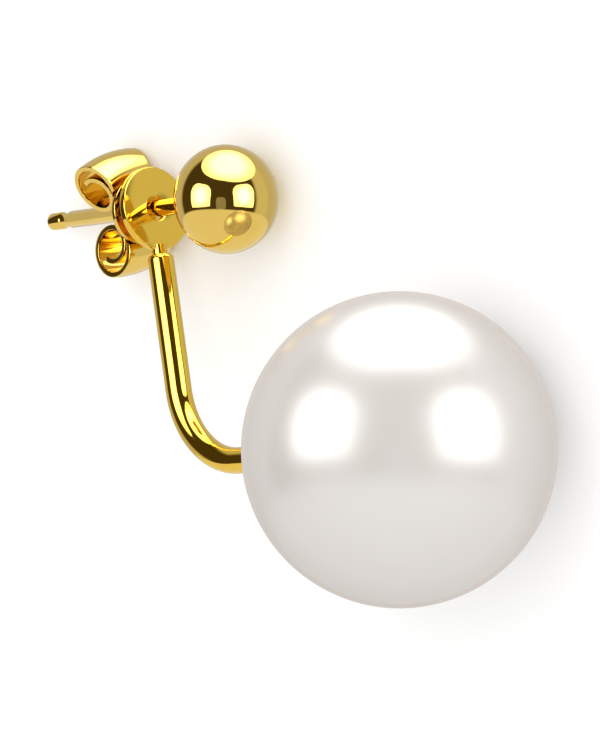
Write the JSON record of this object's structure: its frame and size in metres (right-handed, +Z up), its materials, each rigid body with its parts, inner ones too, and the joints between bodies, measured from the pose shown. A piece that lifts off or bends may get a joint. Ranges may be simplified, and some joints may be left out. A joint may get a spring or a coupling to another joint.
{
  "type": "ear jacket earring",
  "caption": "Gold ball stud with an ear jacket that hangs on its post, runs down behind the lobe and bends forward to hold a large round pearl, and a butterfly clutch behind",
  "frame": {"origin": "on the ground, in the middle of the box that the lying earring fills", "axes": "+Z up, +X along the post from its tip towards the ball, the pearl on the -Y side"},
  "size_m": [0.0248, 0.0182, 0.012],
  "materials": {
    "gold": "polished yellow gold",
    "pearl": "smooth nacre with a soft lustre"
  },
  "bodies": {
    "jacket": {"jacket_frame": "gold", "pearl": "pearl"},
    "stud": {"ball_stud": "gold"},
    "clutch": {"butterfly_clutch": "gold"}
  },
  "joints": [
    {"name": "jacket_swivel", "type": "hinge", "parent": "jacket", "child": "stud", "pos_m": [-0.00643, 0.00673, 0.00162], "axis": [0.9936, 0, 0.1131], "continuous": true},
    {"name": "clutch_slide", "type": "slide", "parent": "stud", "child": "clutch", "axis": [-0.9936, 0, -0.1131], "range_m": [-0.0003, 0.0052]}
  ]
}
